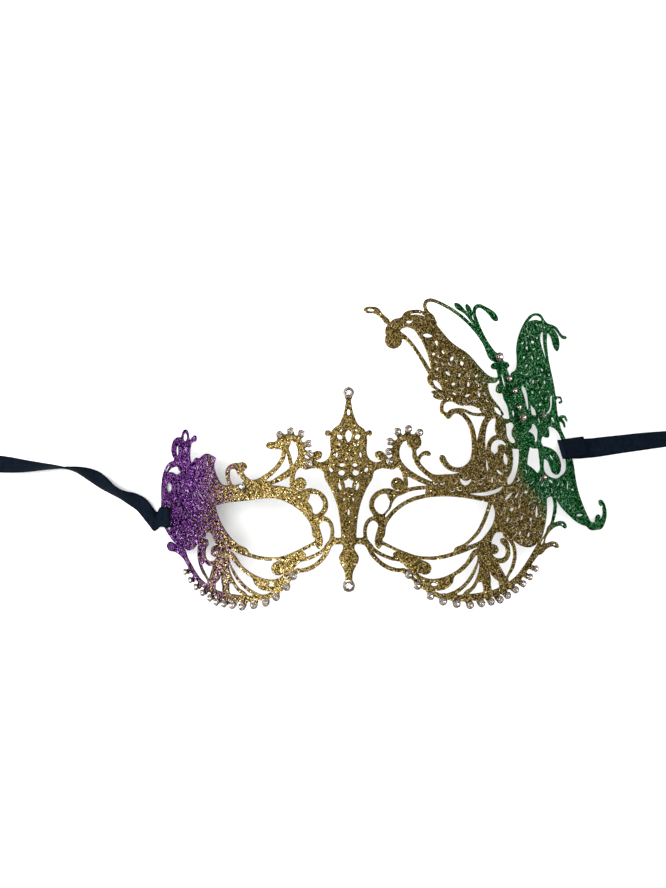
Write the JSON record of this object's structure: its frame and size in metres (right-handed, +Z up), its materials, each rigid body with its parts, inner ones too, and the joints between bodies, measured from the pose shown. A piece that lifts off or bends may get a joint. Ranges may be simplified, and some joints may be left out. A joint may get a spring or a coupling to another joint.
{
  "type": "masquerade mask",
  "caption": "Pierced metal masquerade mask bent to the face, with scrolled eye frames, a butterfly rising at one side, rhinestone edging, a glitter finish and a satin ribbon at each end.",
  "frame": {"origin": "bottom centre of the mask's own box, without the ribbons, on the surface it lies on", "axes": "+X along the width towards the butterfly, +Y towards the brow, +Z up out of the front"},
  "size_m": [0.3158, 0.1338, 0.061],
  "materials": {
    "glitter_metal": "glitter coat running from purple through gold to green",
    "crystal": "cut, foil backed",
    "ribbon": "satin"
  },
  "bodies": {
    "root": {"filigree_plate": "glitter_metal", "stone_chin_01_right": "crystal", "stone_chin_01_left": "crystal", "stone_chin_02_right": "crystal", "stone_chin_02_left": "crystal", "stone_chin_03_right": "crystal", "stone_chin_03_left": "crystal", "stone_chin_04_right": "crystal", "stone_chin_04_left": "crystal", "stone_chin_05_right": "crystal", "stone_chin_05_left": "crystal", "stone_chin_06_right": "crystal", "stone_chin_06_left": "crystal", "stone_chin_07_right": "crystal", "stone_chin_07_left": "crystal", "stone_chin_08_right": "crystal", "stone_chin_08_left": "crystal", "stone_chin_09_right": "crystal", "stone_chin_09_left": "crystal", "stone_chin_10_right": "crystal", "stone_chin_10_left": "crystal", "stone_chin_11_right": "crystal", "stone_chin_11_left": "crystal", "stone_chin_12_right": "crystal", "stone_chin_12_left": "crystal", "stone_chin_13_right": "crystal", "stone_chin_13_left": "crystal", "stone_chin_14_right": "crystal", "stone_chin_14_left": "crystal", "stone_brow_1_right": "crystal", "stone_brow_1_left": "crystal", "stone_brow_2_right": "crystal", "stone_brow_2_left": "crystal", "stone_brow_3_right": "crystal", "stone_brow_3_left": "crystal", "stone_brow_4_right": "crystal", "stone_brow_4_left": "crystal", "stone_brow_5_right": "crystal", "stone_brow_5_left": "crystal", "stone_brow_6_right": "crystal", "stone_brow_6_left": "crystal", "stone_spire_top": "crystal", "stone_spire_foot": "crystal", "stone_butterfly_head": "crystal", "stone_butterfly_neck": "crystal", "stone_butterfly_chest": "crystal", "stone_butterfly_waist": "crystal", "stone_butterfly_heart": "crystal", "stone_butterfly_side": "crystal", "stone_butterfly_foot": "crystal", "stone_purple_brow": "crystal", "ribbon_left": "ribbon", "ribbon_right": "ribbon"}
  },
  "joints": []
}
